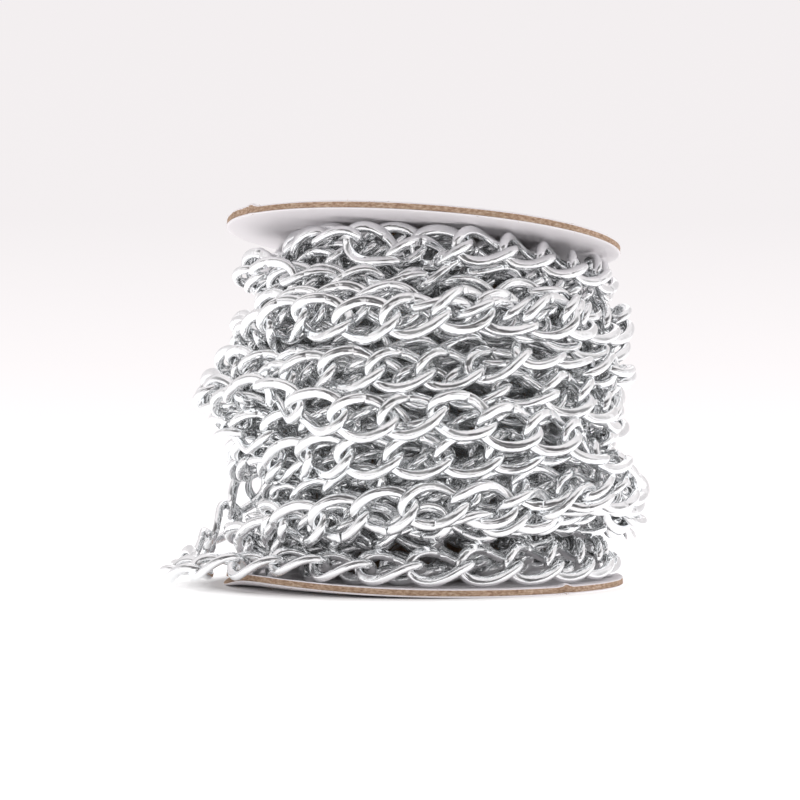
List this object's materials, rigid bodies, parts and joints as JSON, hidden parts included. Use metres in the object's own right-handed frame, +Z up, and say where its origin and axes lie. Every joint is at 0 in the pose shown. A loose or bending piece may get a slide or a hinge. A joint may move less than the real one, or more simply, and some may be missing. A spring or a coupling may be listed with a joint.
{
  "type": "spool of aluminium curb chain",
  "caption": "Curb chain of bright aluminium wire wound in many layers on a short spool with two round paper-faced board flanges; part of the last turn has slipped off the lower flange.",
  "frame": {"origin": "on the floor, under the middle of the whole object's box; the tube's axis stands 4.7 mm towards +X from it", "axes": "+Z up along the tube, +X to the right as seen from the front, -X towards the turn that has slipped off the lower flange"},
  "size_m": [0.1088, 0.1012, 0.0818],
  "materials": {
    "board": "matte white paper on brown board",
    "kraft_tube": "matte brown board",
    "chain": "bright polished"
  },
  "bodies": {
    "root": {"lower_disc": "board", "upper_disc": "board", "core_tube": "kraft_tube", "inner_chain_layers": "chain", "outer_turn_1": "chain", "outer_turn_2": "chain", "outer_turn_3": "chain", "outer_turn_4": "chain", "outer_turn_5": "chain", "outer_turn_6": "chain", "outer_turn_7": "chain", "outer_turn_8": "chain", "last_turn_link_01": "chain", "last_turn_link_02": "chain", "last_turn_link_03": "chain", "last_turn_link_04": "chain", "last_turn_link_05": "chain", "last_turn_link_06": "chain", "last_turn_link_07": "chain", "last_turn_link_08": "chain", "last_turn_link_09": "chain", "last_turn_link_10": "chain", "last_turn_link_11": "chain", "last_turn_link_12": "chain", "last_turn_link_13": "chain", "last_turn_link_14": "chain", "last_turn_link_15": "chain", "last_turn_link_16": "chain", "last_turn_link_17": "chain", "last_turn_link_18": "chain", "last_turn_link_19": "chain", "last_turn_link_20": "chain", "last_turn_link_21": "chain", "last_turn_link_22": "chain", "last_turn_link_23": "chain", "last_turn_link_24": "chain", "last_turn_link_25": "chain"}
  },
  "joints": []
}
